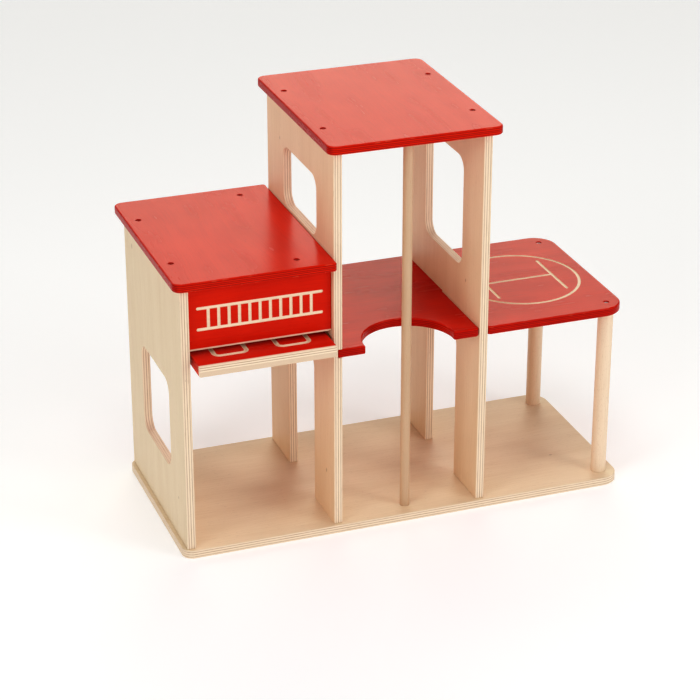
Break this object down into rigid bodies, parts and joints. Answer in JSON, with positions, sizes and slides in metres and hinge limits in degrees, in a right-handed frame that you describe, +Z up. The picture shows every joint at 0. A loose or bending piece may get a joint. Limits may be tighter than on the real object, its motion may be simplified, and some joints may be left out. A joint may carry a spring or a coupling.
{
  "type": "wooden toy fire station",
  "caption": "Wooden toy fire station: an open garage with a slide-and-tilt door, a tower with a sliding pole and a raised helipad deck on one base plate.",
  "frame": {"origin": "bottom centre of the whole station's box with the garage door open, on the surface that it stands on", "axes": "+Z up, garage opening towards -Y, helipad towards +X"},
  "size_m": [0.483, 0.2336, 0.419],
  "materials": {
    "base_plywood": "clear lacquered birch plywood, satin",
    "wall_plywood": "clear lacquered birch plywood, satin",
    "dowel": "sanded beech dowel, clear lacquer",
    "red_plywood": "red stained and lacquered birch plywood, semi-gloss",
    "screw_steel": "zinc plated steel screw"
  },
  "bodies": {
    "station": {"base_plate": "base_plywood", "left_wall": "wall_plywood", "middle_wall": "wall_plywood", "right_wall": "wall_plywood", "garage_roof": "red_plywood", "tower_roof": "red_plywood", "upper_deck": "red_plywood", "sign_panel": "red_plywood", "rear_rail": "wall_plywood", "slide_pole": "dowel", "post_front": "dowel", "post_rear": "dowel", "garage_roof_screw_1": "screw_steel", "garage_roof_screw_2": "screw_steel", "garage_roof_screw_3": "screw_steel", "garage_roof_screw_4": "screw_steel", "tower_roof_screw_1": "screw_steel", "tower_roof_screw_2": "screw_steel", "tower_roof_screw_3": "screw_steel", "tower_roof_screw_4": "screw_steel", "deck_screw_front": "screw_steel", "deck_screw_rear": "screw_steel", "base_screw_left_front": "screw_steel", "base_screw_left_rear": "screw_steel", "base_screw_middle_front": "screw_steel", "base_screw_middle_rear": "screw_steel", "base_screw_right_front": "screw_steel", "base_screw_right_rear": "screw_steel", "base_screw_post_front": "screw_steel", "base_screw_post_rear": "screw_steel"},
    "door_pins": {"door_pin_left": "dowel", "door_pin_right": "dowel"},
    "door": {"garage_door": "red_plywood"}
  },
  "joints": [
    {"name": "door_slide", "type": "slide", "parent": "station", "child": "door_pins", "axis": [0, -1, 0], "range_m": [0, 0.1705]},
    {"name": "door_tilt", "type": "hinge", "parent": "door_pins", "child": "door", "pos_m": [-0.1515, 0.08425, 0.2115], "axis": [1, 0, 0], "range_deg": [0, 90]}
  ]
}
